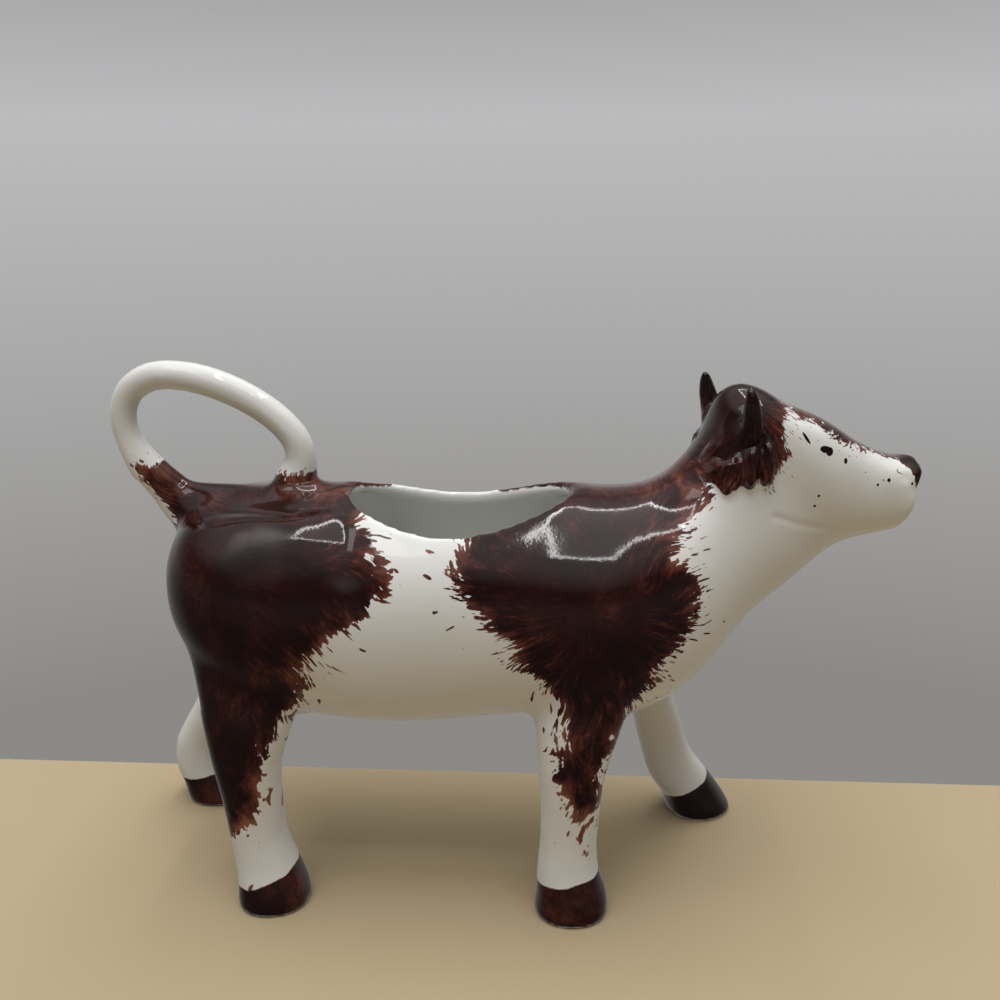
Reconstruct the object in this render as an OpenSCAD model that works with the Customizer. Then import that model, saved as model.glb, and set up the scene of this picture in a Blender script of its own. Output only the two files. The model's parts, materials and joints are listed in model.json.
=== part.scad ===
// Cow creamer: a porcelain cream jug in the shape of a walking cow.
// Cream goes in through the opening in the back and pours from the mouth,
// and the tail loops over the rump as the handle.  The body, the head, the legs,
// the tail, the horns and the ears are cast or rolled one by one and joined with slip.
// The cow looks along +X, its left side is +Y, and it stands on Z = 0.

/* [Trunk] */
// Height of the back above the table
back_z = 92; // [86:1:98]
// Gap between the table and the lowest point of the belly
belly_z = 38; // [34:0.5:42]
// Width of the barrel at its widest
barrel_w = 53; // [49:1:58]
// Rear end of the rump, measured back from the middle of the jug's length
rump_x = 73.8; // [71.4:0.2:76]
// Depth of the rounding of the rump
rump_round = 17; // [14:1:20]
// Thickness of the cast wall
wall = 3.2; // [2.4:0.1:3.6]

/* [Filling opening] */
// Rear end of the opening
fill_rear = -34.3; // [-35.7:0.2:-30.3]
// Front end of the opening
fill_front = 14.2; // [10.8:0.2:15.6]
// Width of the opening at its widest
fill_w = 34; // [30:1:37]
// Radius to which the rim is sponged
rim_r = 1.4; // [0.8:0.1:2]

/* [Neck and head] */
// Height of the poll, the top of the head
poll_z = 114.5; // [110:0.5:119]
// Place of the poll along the jug
poll_x = 51.2; // [49.2:0.2:53.2]
// Place of the tip of the nose along the jug
nose_x = 91.7; // [88.7:0.2:94.7]
// Width of the head across the cheeks
cheek_w = 23; // [21:0.5:26]
// Width of the muzzle
muzzle_w = 16.5; // [15:0.5:19]
// Angle by which the head looks to the cow's left
head_turn = 8; // [2:1:12]
// Width of the pouring mouth
mouth_w = 8.8; // [7.4:0.2:9.4]
// Height of the pouring mouth
mouth_h = 6.2; // [5.6:0.2:6.6]

/* [Legs] */
// Distance between the middles of the left and right hooves
stance_w = 42; // [39:1:45]
// Middle of the right fore hoof, which carries
fore_right_x = 15.2; // [12.2:0.2:18.2]
// Middle of the left fore hoof, which steps out
fore_left_x = 48.2; // [44.8:0.2:49.6]
// Middle of the right hind hoof, which steps in
hind_right_x = -52.1; // [-54.3:0.2:-48.3]
// Middle of the left hind hoof, which pushes off
hind_left_x = -79.3; // [-81.3:0.2:-75.3]
// Length of a hoof
hoof_l = 16.6; // [15:0.2:18]
// Width of a hoof
hoof_w = 16; // [14:0.5:17]
// Height of a hoof
hoof_h = 10; // [9:0.5:12]
// Thickness of a shin from front to back
shin_l = 12.6; // [11:0.2:14]
// Thickness of a shin from side to side
shin_w = 11.6; // [10:0.2:13]

/* [Tail handle] */
// Thickness of the tail
tail_d = 6.9; // [6:0.1:8]
// Height of the top of the loop
loop_z = 120; // [114:1:126]
// Rear end of the loop
loop_rear = -87.3; // [-90.3:0.2:-84.3]
// Place of the front foot of the loop
loop_foot_x = -45.3; // [-46.9:0.2:-42.7]

/* [Horns and ears] */
// Length of a horn
horn_l = 10.5; // [9:0.5:13]
// Thickness of a horn at its foot
horn_d = 4.4; // [4:0.2:5.2]
// Height of an ear, which hangs down beside the neck
ear_l = 9.6; // [8.6:0.2:10.4]
// Width of an ear from front to back
ear_w = 14; // [12:0.5:15]

/* [Hidden] */

// Sides of a ring round the trunk and the head, round a leg, and round the tail
trunk_sides = 36;
leg_sides = 20;
tail_sides = 16;
// Height at which the legs are joined, under the belly
joint_z = belly_z - 3;

// ---- curves ------------------------------------------------------------------------------
function lerp(a, b, t) = a + (b - a) * t;
function clamp(t) = min(1, max(0, t));
function bump(t) = exp(-t * t);

// A smooth curve through rows of values; u runs from 0 to the number of the last row
function through(rows, u) =
    let (last = len(rows) - 1, i = max(0, min(last - 1, floor(u))), t = u - i,
         a = rows[max(0, i - 1)], b = rows[i], c = rows[i + 1], d = rows[min(last, i + 2)])
    0.5 * (2 * b + (c - a) * t + (2 * a - 5 * b + 4 * c - d) * t * t + (3 * b - a - 3 * c + d) * t * t * t);

// A rounded outline, 1 in half width and half height; squareness 2 is an ellipse
function swell(v, n) = sign(v) * pow(abs(v), 2 / n);
function outline(sides, n) =
    [for (k = [0 : sides - 1]) let (a = 360 * k / sides) [swell(cos(a), n), swell(sin(a), n)]];

// ---- skins over rings of points --------------------------------------------------------------
function side_faces(i, j, n) = [for (k = [0 : n - 1]) let (m = (k + 1) % n)
    each [[i * n + k, j * n + m, i * n + m], [i * n + k, j * n + k, j * n + m]]];

// A solid: the rings are joined one to the next, and the end rings are closed
module skin(rings) {
    n = len(rings[0]);
    last = len(rings) - 1;
    polyhedron(
        points = [for (r = rings) each r],
        faces = concat([[for (k = [0 : n - 1]) k]], [for (i = [0 : last - 1]) each side_faces(i, i + 1, n)],
                       [[for (k = [n - 1 : -1 : 0]) last * n + k]]));
}

// A tube: as above, but the last ring is joined to the first
module tube(rings) {
    n = len(rings[0]);
    last = len(rings) - 1;
    polyhedron(
        points = [for (r = rings) each r],
        faces = concat([for (i = [0 : last - 1]) each side_faces(i, i + 1, n)], side_faces(last, 0, n)));
}

// ---- the turn of the head -----------------------------------------------------------------------
// The neck follows an arc to the left, and the head runs on straight from it
bend_to = poll_x - 12.2;
bend_from = bend_to - 24;
bend_r = (bend_to - bend_from) * 180 / (PI * head_turn);
function bent(p) =
    let (a = head_turn * clamp((p.x - bend_from) / (bend_to - bend_from)), run = max(0, p.x - bend_to),
         cx = p.x < bend_from ? p.x : bend_from + bend_r * sin(a) + run * cos(a),
         cy = p.x < bend_from ? 0 : bend_r * (1 - cos(a)) + run * sin(a))
    [cx - p.y * sin(a), cy + p.y * cos(a), p.z];

// ---- formers from the rump to the muzzle ----------------------------------------------------------
// [top x, top z, bottom x, bottom z, half width, share of the height below the widest place, squareness]
// Squareness of the barrel's section
barrel_n = 2.2;
bw = barrel_w / 2;
cw = cheek_w / 2;
mw = muzzle_w / 2;
function along(t) = lerp(-rump_x, poll_x, t);
FORMERS = [
    [-rump_x, back_z - 2, -rump_x, belly_z + 17.5, bw * 0.93, 0.5, 2.5],
    [-rump_x + rump_round, back_z - 0.6, -rump_x + rump_round, belly_z + 8.5, bw * 0.97, 0.5, 2.5],
    [along(0.23), back_z - 0.4, along(0.22), belly_z + 2.5, bw * 0.99, 0.5, barrel_n],
    [along(0.335), back_z + 0.3, along(0.32), belly_z + 0.5, bw, 0.5, barrel_n],
    [along(0.47), back_z, along(0.44), belly_z + 0.3, bw, 0.5, barrel_n],
    [along(0.605), back_z - 0.2, along(0.575), belly_z + 2.4, bw, 0.5, barrel_n],
    [along(0.71), back_z - 0.1, along(0.69), belly_z + 3.6, bw * 0.98, 0.5, barrel_n],
    [along(0.8), back_z - 0.6, along(0.8), belly_z + 3, bw * 0.93, 0.48, 2.3],
    [along(0.86), back_z + 1.2, along(0.914), belly_z + 10.3, bw * 0.8, 0.47, 2.2],
    [poll_x - 11.8, poll_z - 16, poll_x + 2, poll_z - 52.6, cw + 4, 0.48, 2.15],
    [poll_x - 7.9, poll_z - 9.5, poll_x + 12, poll_z - 44.8, cw + 1.5, 0.5, 2.1],
    [poll_x - 5.6, poll_z - 1.8, poll_x + 18.6, poll_z - 39.5, cw, 0.55, 2.1],
    [poll_x + 1, poll_z + 0.3, poll_x + 22, poll_z - 36.9, cw, 0.58, 2.2],
    [lerp(poll_x, nose_x, 0.22), poll_z - 4.3, lerp(poll_x, nose_x, 0.64), poll_z - 35.4, cw * 0.97, 0.58, 2.3],
    [lerp(poll_x, nose_x, 0.44), poll_z - 8.1, lerp(poll_x, nose_x, 0.72), poll_z - 34.7, cw * 0.86, 0.56, 2.3],
    [lerp(poll_x, nose_x, 0.64), poll_z - 13.4, lerp(poll_x, nose_x, 0.81), poll_z - 34, mw * 1.0, 0.53, 2.4],
    [lerp(poll_x, nose_x, 0.8), poll_z - 16.4, lerp(poll_x, nose_x, 0.87), poll_z - 33.2, mw, 0.52, 2.5],
    [lerp(poll_x, nose_x, 0.965), poll_z - 18, lerp(poll_x, nose_x, 0.885), poll_z - 31.8, mw * 0.93, 0.5, 2.5]];
SEAM = 9;
LAST = len(FORMERS) - 1;

// Masses that stand out of the sides: [x, z, spread along, spread up, height, side: 1 left, -1 right, 0 both]
MASSES = [
    [-56.3, 70, 15, 17, 2, 0],
    [17.7, 66, 14, 20, 1.6, 0],
    [-32.3, 86, 8, 9, -0.6, 0]];
function relief(p) = [for (m = MASSES) m[5] == 0 || m[5] == sign(p.y) ? m[4] : 0]
    * [for (m = MASSES) bump((p.x - m[0]) / m[2]) * bump((p.z - m[1]) / m[3])];

// One ring: inset is how far it lies inside the outer face, k is how much of its size is left
function ring(f, inset = 0, k = 1) =
    let (top = [f[0], f[1]], low = [f[2], f[3]], tall = norm(top - low), up = (top - low) / tall,
         mid = low + up * tall * f[5], hi = (tall * (1 - f[5]) - inset) * k, lo = (tall * f[5] - inset) * k,
         half = (f[4] - inset) * k)
    [for (o = outline(trunk_sides, f[6])) let (q = mid + up * o.y * (o.y > 0 ? hi : lo)) [q.x, o.x * half, q.y]];
function dressed(r) = [for (p = r) bent([p.x, p.y * (1 + relief(p) / bw), p.z])];
function plain(r) = [for (p = r) bent(p)];

// The rump closes like a dome, and the trunk runs on from it to the joint in the neck.
// The hollow inside runs on a little further, so that it opens the joint.
rump_steps = 6;
trunk_steps = 24;
function trunk_rings(inset) = concat(
    [for (j = [1 : rump_steps - 1]) let (a = 90 * j / rump_steps)
        ring(through(FORMERS, lerp(inset / rump_round, 1, 1 - cos(a))), inset, pow(sin(a), 0.65))],
    [for (i = [0 : trunk_steps - (inset > 0 ? 1 : 0)]) ring(through(FORMERS, lerp(1, SEAM, i / trunk_steps)), inset)],
    inset > 0 ? [[for (p = ring(FORMERS[SEAM], inset)) p + [1, 0, 0.4]]] : []);

// The head runs from the joint to the muzzle, which closes round the mouth
head_steps = 20;
mouth = [nose_x - 2.9, 0, poll_z - 26.4];
function mouth_ring(depth) = [for (o = outline(trunk_sides, 2.2))
    [mouth.x - depth + (o.y > 0 ? o.y * 0.6 : o.y * 0.9), o.x * mouth_w / 2, mouth.z + o.y * mouth_h / 2]];
function head_outer() = concat(
    [for (i = [0 : head_steps]) ring(through(FORMERS, lerp(SEAM, LAST, i / head_steps)))],
    [for (a = [22, 45, 70]) let (front = ring(FORMERS[LAST]), lip = mouth_ring(0))
        [for (k = [0 : trunk_sides - 1]) [lerp(front[k].x, lip[k].x, sin(a)),
            lerp(lip[k].y, front[k].y, cos(a)), lerp(lip[k].z, front[k].z, cos(a))]]],
    [mouth_ring(0)]);
function head_inner() = concat([mouth_ring(2.2)],
    [for (i = [head_steps - 2 : -2 : 0]) ring(through(FORMERS, lerp(SEAM, LAST, i / head_steps)), wall)]);

module trunk_solid() skin([for (r = trunk_rings(0)) dressed(r)]);
module head_solid() skin([for (r = head_outer()) dressed(r)]);

// ---- legs -----------------------------------------------------------------------------------------
// [side, hoof x, fetlock x, shin x, joint x, elbow x, root x, root z, length at joint, elbow and root, toe angle]
FORE_RIGHT = [-1, fore_right_x, fore_right_x - 0.9, fore_right_x - 0.7, 15.3, 16.6, 18.2, 64, 15, 19.4, 26, 0];
FORE_LEFT = [1, fore_left_x, fore_left_x - 6, fore_left_x - 9.2, 34.3, 28.2, 24.7, 64, 11, 17.5, 24, 22];
HIND_RIGHT = [-1, hind_right_x, hind_right_x - 1.6, hind_right_x - 3, -56.3, -55.3, -56.2, 70, 15.6, 22.6, 28.4, 8];
HIND_LEFT = [1, hind_left_x, hind_left_x - 4.2, hind_left_x - 3.6, -71.9, -64.3, -60.3, 70, 15.6, 22, 27, 0];
hy = stance_w / 2;
// Rows from the sole to the root: [z, x, y, half length, half width, turn]
function leg_rows(g) =
    let (hl = hoof_l / 2, hw = hoof_w / 2, sl = shin_l / 2, sw = shin_w / 2,
         shin_z = lerp(hoof_h, joint_z, 0.3), jl = g[8] / 2,
         slant = norm([1, (g[3] - g[1]) / shin_z]))
    [[0, g[1], hy, hl * 0.92, hw * 0.92, g[11]],
     [1.3, lerp(g[1], g[2], 0.06), hy, hl, hw, g[11]],
     [hoof_h * 0.5, lerp(g[1], g[2], 0.38) + 0.3, hy - 0.1, hl * 0.94, hw * 0.94, g[11]],
     [hoof_h, lerp(g[1], g[2], 0.9), hy - 0.4, lerp(hl, sl, 0.7) * slant, lerp(hw, sw, 0.7), g[11] * 0.7],
     [shin_z, g[3], hy - 0.5, sl, sw, g[11] * 0.3],
     [lerp(shin_z, joint_z, 0.5), lerp(g[3], g[4], 0.5), hy - 0.6, lerp(sl, jl, 0.3), sw + 0.2, 0],
     [joint_z, g[4], hy - 1, jl, sw + 0.9, 0],
     [lerp(joint_z, g[7], 0.38), g[5], hy - 3, g[9] / 2, sw + 1.8, 0],
     [g[7], g[6], hy - 7, g[10] / 2, sw + 1, 0]];
JOINT = 6;
function leg_ring(g, u) = let (r = through(leg_rows(g), u), c = cos(r[5]), t = sin(r[5]))
    [for (o = outline(leg_sides, 2.2)) let (x = o.x * r[3], y = g[0] * o.y * r[4])
        [r[1] + c * x - t * y, g[0] * r[2] + t * x + c * y, r[0]]];
function wound(r, side) = side > 0 ? r : [for (k = [len(r) - 1 : -1 : 0]) r[k]];

// The part of a leg below the joint, one casting
module leg(g) skin([for (u = [0, 0.5, 1, 1.5, 2, 2.5, 3, 3.3, 3.7, 4, 4.5, 5, 5.5, JOINT]) wound(leg_ring(g, u), g[0])]);

// The root of a leg above the joint, which is part of the body's casting
module leg_root(g) {
    for (i = [0 : 5])
        hull() skin([for (u = [JOINT + i / 3, JOINT + (i + 1) / 3]) wound(leg_ring(g, u), g[0])]);
}

// ---- body -------------------------------------------------------------------------------------------
// The opening is an oval, a little narrower in front
function oval(grow) = let (mid = lerp(fill_rear, fill_front, 0.5)) [for (o = outline(70, 2))
    [mid + o.x * ((fill_front - fill_rear) / 2 + grow), o.y * (fill_w / 2 + grow) * (1 - 0.04 * o.x)]];
// Height of the outer face of the barrel over a place beside the middle
function barrel_top(y) = let (mid = (back_z + belly_z) / 2)
    mid + (back_z - mid) * pow(max(0, 1 - pow(abs(y) / bw, barrel_n)), 1 / barrel_n);
module filling_cut() {
    skin([for (s = [[0, -14], [0, -rim_r], [rim_r * 0.13, -rim_r * 0.5], [rim_r * 0.5, -rim_r * 0.13], [rim_r, 0], [rim_r, 12]])
        [for (p = oval(s[0])) [p.x, p.y, barrel_top(p.y) + s[1]]]]);
}
module udder() {
    hull() {
        translate([-50.3, 0, belly_z + 6]) scale([1.3, 1.1, 1]) sphere(r = 8, $fn = 24);
        translate([-36.3, 0, belly_z + 7]) scale([1.3, 1.1, 1]) sphere(r = 7, $fn = 24);
    }
}

// The ridge of the spine that the tail grows out of
module tail_head() {
    for (i = [0 : 3]) hull() for (j = [i, i + 1]) {
        r = [[loop_foot_x + 2, 8.6, 7.6], [lerp(loop_foot_x, loop_rear, 0.2), 8, 7.6], [lerp(loop_foot_x, loop_rear, 0.42), 6.8, 7.2],
             [lerp(loop_foot_x, loop_rear, 0.58), 5.6, 6.4], [lerp(loop_foot_x, loop_rear, 0.68), 5, 5]][j];
        translate([r[0], 0, back_z - r[1]]) sphere(r = r[2], $fn = 16);
    }
}

module body_shell() {
    color("gainsboro")
        difference() {
            union() {
                trunk_solid();
                tail_head();
                leg_root(FORE_RIGHT);
                leg_root(FORE_LEFT);
                leg_root(HIND_RIGHT);
                leg_root(HIND_LEFT);
                udder();
            }
            skin([for (r = trunk_rings(wall)) plain(r)]);
            filling_cut();
        }
}

module head() {
    color("linen") tube(concat([for (r = head_outer()) dressed(r)], [for (r = head_inner()) plain(r)]));
}

// ---- tail handle --------------------------------------------------------------------------------------
// Rows of the loop: [share of the way from its rear end to its foot, share of the height over the back, thickness]
LOOP = [
    [0.42, -0.3, 1.3], [0.28, -0.16, 1.37], [0.11, 0.105, 1.2], [0.003, 0.4, 0.88], [-0.02, 0.66, 0.86], [0.045, 0.88, 0.9],
    [0.2, 1, 0.94], [0.42, 0.975, 0.97], [0.64, 0.855, 0.98], [0.84, 0.665, 0.95], [0.972, 0.44, 0.96], [1, 0.22, 1.06],
    [0.96, 0.02, 1.44], [0.945, -0.16, 1.7]];
function loop_row(u) = let (r = through(LOOP, u))
    [lerp(loop_rear + tail_d / 2, loop_foot_x, r[0]), lerp(back_z, loop_z - tail_d / 2, r[1]), r[2] * tail_d / 2];
function loop_ring(u) = let (r = loop_row(u), d = loop_row(u + 0.05) - loop_row(u - 0.05), l = norm([d[0], d[1]]))
    [for (k = [0 : tail_sides - 1]) let (a = 360 * k / tail_sides)
        [r[0] + d[1] / l * cos(a) * r[2], sin(a) * r[2], r[1] - d[0] / l * cos(a) * r[2]]];
loop_steps = 40;
module tail_handle() {
    color("whitesmoke")
        difference() {
            for (i = [0 : loop_steps - 1])
                hull() skin([for (j = [i, i + 1]) loop_ring(lerp(0.05, len(LOOP) - 1.05, j / loop_steps))]);
            trunk_solid();
            tail_head();
        }
}

// ---- horns and ears ---------------------------------------------------------------------------------------
// Pads of clay along a path, each hulled to the next: [x, y, z, half length, half thickness, half height]
module pads(rows, steps, side, fine = 10) {
    for (i = [0 : steps - 1])
        hull() for (j = [i, i + 1]) {
            r = through(rows, j * (len(rows) - 1) / steps);
            translate(bent([r[0], side * r[1], r[2]])) rotate([0, 0, head_turn])
                scale([r[3], r[4], r[5]]) sphere(r = 1, $fn = fine);
        }
}
hr = horn_d / 2;
// The left horn was set a little further back than the right one
horn_set = [4, 1];
function horn_rows(side) = let (x = poll_x - horn_set[side > 0 ? 0 : 1], z = poll_z - 9, rake = side > 0 ? 1.2 : 0.8) [
    [x + 0.3, cw - 5, z - 1, hr, hr, hr],
    [x + 0.3, cw - 1, z + 0.5, hr, hr, hr],
    [x - rake * 0.4, cw, z + horn_l * 0.5, hr * 0.9, hr * 0.8, hr],
    [x - rake, cw - 0.4, z + horn_l - 1.8, hr * 0.5, hr * 0.5, hr * 0.5]];
// The ear is a flap that lies in three folds, from its front edge to its tip at the back
ear_x = poll_x - 2.4;
ear_z = poll_z - 16.4;
el = ear_l / 2;
EAR = [
    [ear_x + ear_w * 0.45, cw - 0.5, ear_z + 1.6, 1, 1.2, el * 0.7],
    [ear_x + ear_w * 0.3, cw + 0.5, ear_z + 0.9, 1.3, 1.8, el],
    [ear_x + ear_w * 0.185, cw, ear_z + 0.3, 0.9, 1.3, el * 0.84],
    [ear_x + ear_w * 0.07, cw + 0.7, ear_z, 1.2, 1.8, el * 0.94],
    [ear_x - ear_w * 0.055, cw - 0.1, ear_z + 0.2, 0.9, 1.4, el * 0.72],
    [ear_x - ear_w * 0.17, cw + 0.6, ear_z - 0.7, 1.2, 1.8, el * 0.92],
    [ear_x - ear_w * 0.28, cw + 0.4, ear_z - 1.6, 1.1, 1.7, el * 0.88],
    [ear_x - ear_w * 0.38, cw - 0.9, ear_z - 0.7, 1, 1.5, el * 0.7],
    [ear_x - ear_w * 0.46, cw - 2.7, ear_z - 0.2, 0.8, 1.2, el * 0.46]];
module horn(side) {
    difference() {
        pads(horn_rows(side), 8, side);
        head_solid();
    }
}
module ear(side) {
    difference() {
        pads(EAR, 8, side, 8);
        head_solid();
        trunk_solid();
    }
}

module fore_leg_right() { color("ivory") leg(FORE_RIGHT); }
module fore_leg_left() { color("ivory") leg(FORE_LEFT); }
module hind_leg_right() { color("beige") leg(HIND_RIGHT); }
module hind_leg_left() { color("beige") leg(HIND_LEFT); }
module horn_right() { color("sienna") horn(-1); }
module horn_left() { color("sienna") horn(1); }
module ear_right() { color("saddlebrown") ear(-1); }
module ear_left() { color("saddlebrown") ear(1); }

body_shell();
head();
fore_leg_right();
fore_leg_left();
hind_leg_right();
hind_leg_left();
tail_handle();
horn_right();
horn_left();
ear_right();
ear_left();
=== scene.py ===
import json
from math import cos, radians, sin

import bpy
import numpy as np
from mathutils import Matrix, Vector
from mathutils.bvhtree import BVHTree

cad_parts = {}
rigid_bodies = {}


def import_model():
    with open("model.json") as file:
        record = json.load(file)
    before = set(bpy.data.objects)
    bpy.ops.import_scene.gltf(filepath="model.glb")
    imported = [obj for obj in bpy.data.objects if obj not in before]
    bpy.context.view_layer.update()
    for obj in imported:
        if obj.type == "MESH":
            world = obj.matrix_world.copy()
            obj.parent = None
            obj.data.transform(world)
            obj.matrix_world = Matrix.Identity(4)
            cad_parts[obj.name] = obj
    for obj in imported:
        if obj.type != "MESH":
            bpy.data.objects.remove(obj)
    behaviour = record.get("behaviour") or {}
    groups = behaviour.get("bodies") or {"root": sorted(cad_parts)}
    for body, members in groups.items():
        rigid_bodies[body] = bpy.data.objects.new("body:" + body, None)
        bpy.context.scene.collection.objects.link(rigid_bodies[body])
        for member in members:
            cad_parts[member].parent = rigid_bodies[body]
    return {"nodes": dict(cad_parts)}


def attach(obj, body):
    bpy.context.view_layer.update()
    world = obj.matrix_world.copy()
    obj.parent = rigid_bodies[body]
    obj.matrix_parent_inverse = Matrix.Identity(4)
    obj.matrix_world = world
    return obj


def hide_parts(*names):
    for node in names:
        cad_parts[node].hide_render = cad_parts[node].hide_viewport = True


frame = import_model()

scene = bpy.context.scene
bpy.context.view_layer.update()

# ---- camera -----------------------------------------------------------------------------------
# Seen from the cow's right side, a little from above and from in front of the middle, as a
# person at a table sees a jug standing just below the eye.
pitch, yaw, roll = radians(16.07), radians(-4.14), radians(0.7)
ahead = Vector((sin(yaw) * cos(pitch), cos(yaw) * cos(pitch), -sin(pitch)))
right = Vector((cos(yaw), -sin(yaw), 0))
up = right.cross(ahead)
right, up = cos(roll) * right - sin(roll) * up, sin(roll) * right + cos(roll) * up
camera = bpy.data.objects.new("camera", bpy.data.cameras.new("camera"))
scene.collection.objects.link(camera)
camera.matrix_world = Matrix((right, up, -ahead)).transposed().to_4x4()
camera.location = (0.01419, -0.2120, 0.1500)
camera.data.sensor_width = 36
camera.data.lens = 36
camera.data.clip_start = 0.005
scene.camera = camera

# ---- slip-cast clay -----------------------------------------------------------------------------
# The jug is slip cast in white porcelain: body, legs, tail and head come out of plaster moulds,
# are luted together while soft and sponged, so one skin runs over all the joints.


def only(piece):
    """Nothing but this piece is selected."""
    bpy.ops.object.select_all(action="DESELECT")
    piece.select_set(True)
    bpy.context.view_layer.objects.active = piece


def places(piece):
    """Where the points of the skin are, one row each."""
    spots = np.empty(len(piece.data.vertices) * 3, np.float32)
    piece.data.vertices.foreach_get("co", spots)
    return spots.reshape(-1, 3).astype(float)


def facing(piece):
    """Which way the skin faces at its points, one row each."""
    outward = np.empty(len(piece.data.vertices) * 3, np.float32)
    piece.data.vertices.foreach_get("normal", outward)
    return outward.reshape(-1, 3)


def touch(piece, points):
    """The points that are true in the list are selected, with the faces and edges between them."""
    mesh = piece.data
    only(piece)
    bpy.ops.object.mode_set(mode="EDIT")
    bpy.context.tool_settings.mesh_select_mode = (True, False, False)
    bpy.ops.mesh.select_all(action="DESELECT")
    bpy.ops.object.mode_set(mode="OBJECT")
    mesh.vertices.foreach_set("select", points)
    ends = np.empty(len(mesh.edges) * 2, np.int32)
    mesh.edges.foreach_get("vertices", ends)
    mesh.edges.foreach_set("select", points[ends.reshape(-1, 2)].all(1))
    starts = np.empty(len(mesh.polygons), np.int32)
    mesh.polygons.foreach_get("loop_start", starts)
    corners = np.empty(len(mesh.loops), np.int32)
    mesh.loops.foreach_get("vertex_index", corners)
    whole = np.minimum.reduceat(points[corners].astype(np.int8), starts).astype(bool)
    mesh.polygons.foreach_set("select", whole)
    bpy.ops.object.mode_set(mode="EDIT")


def castings(name, *nodes):
    """The castings, luted together into one piece of clay."""
    parts = []
    for node in nodes:
        part = bpy.data.objects.new(name, frame["nodes"][node].data.copy())
        part.data.materials.clear()
        scene.collection.objects.link(part)
        only(part)
        bpy.ops.object.mode_set(mode="EDIT")
        bpy.ops.mesh.select_all(action="SELECT")
        bpy.ops.mesh.remove_doubles(threshold=1e-6)
        bpy.ops.object.mode_set(mode="OBJECT")
        parts.append(part)
    bpy.ops.object.select_all(action="DESELECT")
    for part in parts:
        part.select_set(True)
    bpy.context.view_layer.objects.active = parts[0]
    bpy.ops.object.join()
    parts[0].name = parts[0].data.name = name
    return parts[0]


def one_skin(piece, grain):
    """The clay becomes one closed skin of small even faces, without the bubbles in its joints."""
    only(piece)
    skin = piece.modifiers.new("skin", "REMESH")
    skin.mode = "VOXEL"
    skin.voxel_size = grain
    skin.use_smooth_shade = True
    bpy.ops.object.modifier_apply(modifier=skin.name)
    outermost = np.zeros(len(piece.data.vertices), bool)
    outermost[places(piece)[:, 0].argmax()] = True
    touch(piece, outermost)
    bpy.ops.mesh.select_linked()
    bpy.ops.mesh.select_all(action="INVERT")
    bpy.ops.mesh.delete(type="VERT")
    bpy.ops.object.mode_set(mode="OBJECT")


def sponge(piece, where, times):
    """A damp sponge is drawn over the places that are true in where."""
    touch(piece, where)
    bpy.ops.mesh.vertices_smooth(factor=0.5, repeat=times)
    bpy.ops.object.mode_set(mode="OBJECT")


def off_path(spots, path):
    """How far each point is from a path through places in millimetres."""
    path = np.array(path, float) / 1000
    off = np.full(len(spots), 1e9)
    for a, b in zip(path[:-1], path[1:]):
        along = np.clip(((spots - a) @ (b - a)) / ((b - a) @ (b - a)), 0, 1)
        off = np.minimum(off, np.linalg.norm(spots - a - along[:, None] * (b - a), axis=1))
    return off


def push(piece, marks):
    """The modeller's tools: each mark is (path, reach, height). The skin within reach of the path
    rises by the height, or sinks where it is below zero. Operators have no brush without a window,
    so the points are moved here."""
    spots = places(piece)
    lift = np.zeros(len(spots))
    for path, reach, height in marks:
        lift += height / 1000 * np.exp(-((off_path(spots, path) / (reach / 1000)) ** 2))
    spots += facing(piece) * lift[:, None]
    piece.data.vertices.foreach_set("co", spots.astype(np.float32).ravel())
    piece.data.update()


def cut(piece, low, high, point, normal):
    """The skin is cut by a plane, where it runs between two corners, and its two sides come apart."""
    spots = places(piece)
    touch(piece, ((spots > np.array(low)) & (spots < np.array(high))).all(1))
    bpy.ops.mesh.bisect(plane_co=point, plane_no=normal)
    bpy.ops.mesh.edge_split(type="EDGE")
    bpy.ops.object.mode_set(mode="OBJECT")


def lift_off(piece, seed, name):
    """All that hangs together with the skin at the place seed becomes a piece of its own."""
    nearest = np.zeros(len(piece.data.vertices), bool)
    nearest[((places(piece) - np.array(seed)) ** 2).sum(1).argmin()] = True
    touch(piece, nearest)
    bpy.ops.mesh.select_linked()
    bpy.ops.mesh.separate(type="SELECTED")
    bpy.ops.object.mode_set(mode="OBJECT")
    part = [o for o in bpy.context.selected_objects if o != piece][0]
    part.name = part.data.name = name
    return part


def close(piece):
    """The cut ends are closed, across a solid end and round the wall of a hollow one."""
    only(piece)
    bpy.ops.object.mode_set(mode="EDIT")
    bpy.ops.mesh.select_all(action="DESELECT")
    bpy.ops.mesh.select_non_manifold()
    bpy.ops.mesh.fill()
    bpy.ops.mesh.select_all(action="SELECT")
    bpy.ops.mesh.normals_make_consistent(inside=False)
    bpy.ops.object.mode_set(mode="OBJECT")
    bpy.ops.object.shade_smooth_by_angle(angle=radians(50))


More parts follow.
